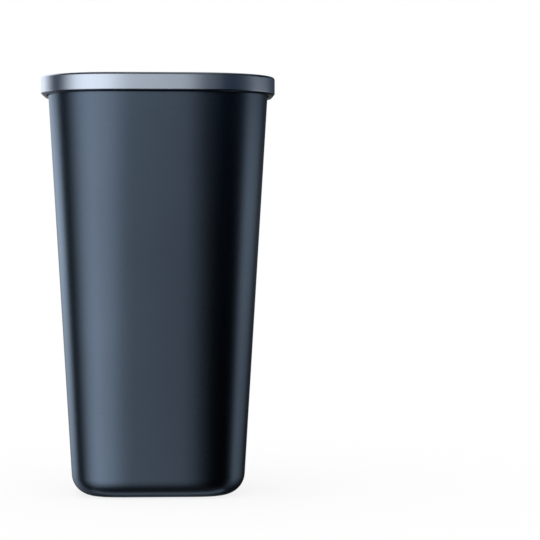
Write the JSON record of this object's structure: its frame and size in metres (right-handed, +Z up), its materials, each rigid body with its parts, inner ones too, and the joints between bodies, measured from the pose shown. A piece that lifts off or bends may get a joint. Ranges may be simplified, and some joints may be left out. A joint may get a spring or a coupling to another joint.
{
  "type": "car trash bin",
  "caption": "Small tapered car trash bin: a tall open body of rounded rectangular plan with a rounded base, and a satin metal ring that presses over its mouth to hold a bag.",
  "frame": {"origin": "on the floor under the middle of the bin", "axes": "+Z up the height of the bin, +Y from its front to its back, +X to the right as seen from the front"},
  "size_m": [0.1, 0.081, 0.179],
  "materials": {
    "body": "satin, fine grain",
    "ring": "satin"
  },
  "bodies": {
    "bin": {"bin_body": "body"},
    "ring": {"rim_ring": "ring"}
  },
  "joints": [
    {"name": "ring_lift", "type": "slide", "parent": "bin", "child": "ring", "axis": [0, 0, 1], "range_m": [0, 0.04]}
  ]
}
